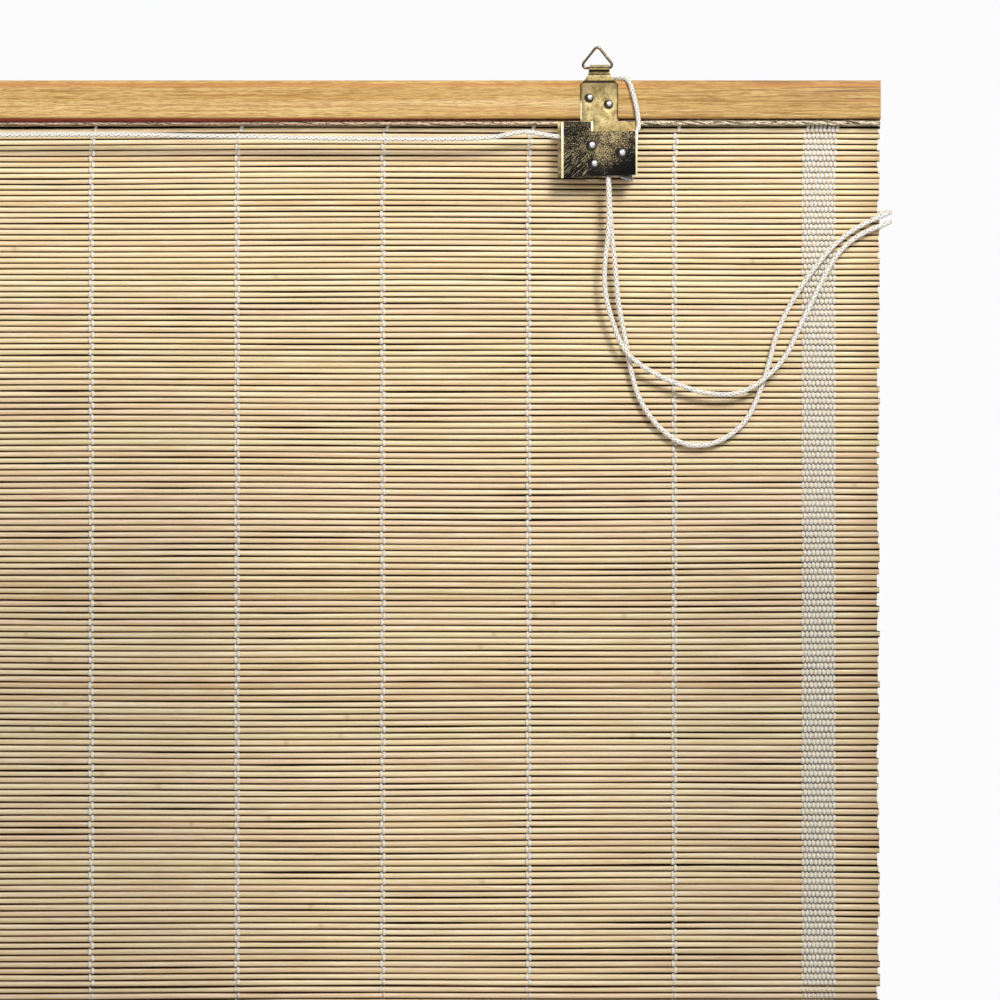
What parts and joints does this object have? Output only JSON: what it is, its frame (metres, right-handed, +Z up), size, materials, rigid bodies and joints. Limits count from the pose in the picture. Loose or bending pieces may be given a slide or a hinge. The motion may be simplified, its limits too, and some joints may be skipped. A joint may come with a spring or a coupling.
{
  "type": "bamboo roll up blind",
  "caption": "Woven bamboo stick blind on a wooden head rail, with a cord lock, a cord pulley and pull cords, hung by two wire rings.",
  "frame": {"origin": "midway between the two hook seats, the inside tops of the two wire rings", "axes": "+Z up along the drop, front towards -Y, +X to the right seen from the front"},
  "size_m": [0.6056, 0.0254, 1.6181],
  "materials": {
    "rail_wood": "varnished honey pine, fine grain",
    "bamboo": "split bamboo, satin",
    "warp_yarn": "twisted off-white cotton yarn",
    "braided_cord": "braided off-white cord",
    "antique_brass": "mottled dark antique brass with bright cut edges",
    "bright_brass": "bent brass wire",
    "nickel": "nickel-plated domed heads",
    "dark_steel": "dark grey stamped steel",
    "staple_wire": "galvanised wire"
  },
  "bodies": {
    "root": {"head_rail": "rail_wood", "rail_staples": "staple_wire", "top_yarn_bundle": "warp_yarn", "bamboo_sticks_1": "bamboo", "bamboo_sticks_2": "bamboo", "bamboo_sticks_3": "bamboo", "bamboo_sticks_4": "bamboo", "bamboo_sticks_5": "bamboo", "bamboo_sticks_6": "bamboo", "bamboo_sticks_7": "bamboo", "bamboo_sticks_8": "bamboo", "bamboo_sticks_9": "bamboo", "warp_thread_1": "warp_yarn", "warp_thread_2": "warp_yarn", "warp_thread_3": "warp_yarn", "warp_thread_4": "warp_yarn", "warp_thread_5": "warp_yarn", "warp_thread_6": "warp_yarn", "warp_thread_7": "warp_yarn", "left_woven_tape": "warp_yarn", "right_woven_tape": "warp_yarn", "lock_hanger_plate": "antique_brass", "lock_cover": "antique_brass", "lock_rivets": "nickel", "lock_nails": "nickel", "pulley_hanger_plate": "antique_brass", "pulley_cover": "antique_brass", "pulley_rivets": "nickel", "pulley_nails": "nickel", "left_lift_cord": "braided_cord", "right_lift_cord": "braided_cord", "left_pull_cord": "braided_cord", "right_pull_cord": "braided_cord", "left_pull_knot": "braided_cord", "right_pull_knot": "braided_cord"},
    "bottom": {"bottom_rod": "bamboo", "warp_end_loops": "warp_yarn", "lift_cord_knots": "braided_cord"},
    "lock_ring": {"lock_ring": "bright_brass"},
    "pulley_ring": {"pulley_ring": "bright_brass"},
    "lock_wheel": {"lock_cord_wheel": "bright_brass"},
    "lock_roller": {"lock_pinch_roller": "bright_brass"},
    "pulley_wheel": {"pulley_cord_wheel": "bright_brass"},
    "pawl": {"lock_pawl": "dark_steel"}
  },
  "joints": [
    {"name": "raise", "type": "slide", "parent": "root", "child": "bottom", "axis": [0, 0, 1], "range_m": [0, 1.47], "deforming": ["bamboo_sticks_1", "bamboo_sticks_2", "bamboo_sticks_3", "bamboo_sticks_4", "bamboo_sticks_5", "bamboo_sticks_6", "bamboo_sticks_7", "bamboo_sticks_8", "bamboo_sticks_9", "warp_thread_1", "warp_thread_2", "warp_thread_3", "warp_thread_4", "warp_thread_5", "warp_thread_6", "warp_thread_7", "left_woven_tape", "right_woven_tape", "left_lift_cord", "right_lift_cord"]},
    {"name": "lock_ring_swing", "type": "hinge", "parent": "root", "child": "lock_ring", "pos_m": [0.1689, 0, -0.0089], "axis": [1, 0, 0], "range_deg": [-80, 80]},
    {"name": "pulley_ring_swing", "type": "hinge", "parent": "root", "child": "pulley_ring", "pos_m": [-0.1689, 0, -0.0089], "axis": [1, 0, 0], "range_deg": [-80, 80]},
    {"name": "lock_wheel_spin", "type": "hinge", "parent": "root", "child": "lock_wheel", "pos_m": [0.1654, 0, -0.045], "axis": [0, 1, 0], "continuous": true},
    {"name": "lock_roller_spin", "type": "hinge", "parent": "root", "child": "lock_roller", "pos_m": [0.1665, 0, -0.0535], "axis": [0, 1, 0], "continuous": true},
    {"name": "pulley_wheel_spin", "type": "hinge", "parent": "root", "child": "pulley_wheel", "pos_m": [-0.1829, 0, -0.0366], "axis": [0, 1, 0], "continuous": true},
    {"name": "pawl_swing", "type": "hinge", "parent": "root", "child": "pawl", "pos_m": [0.1794, 0, -0.0485], "axis": [0, -1, 0], "range_deg": [0, 25]}
  ]
}
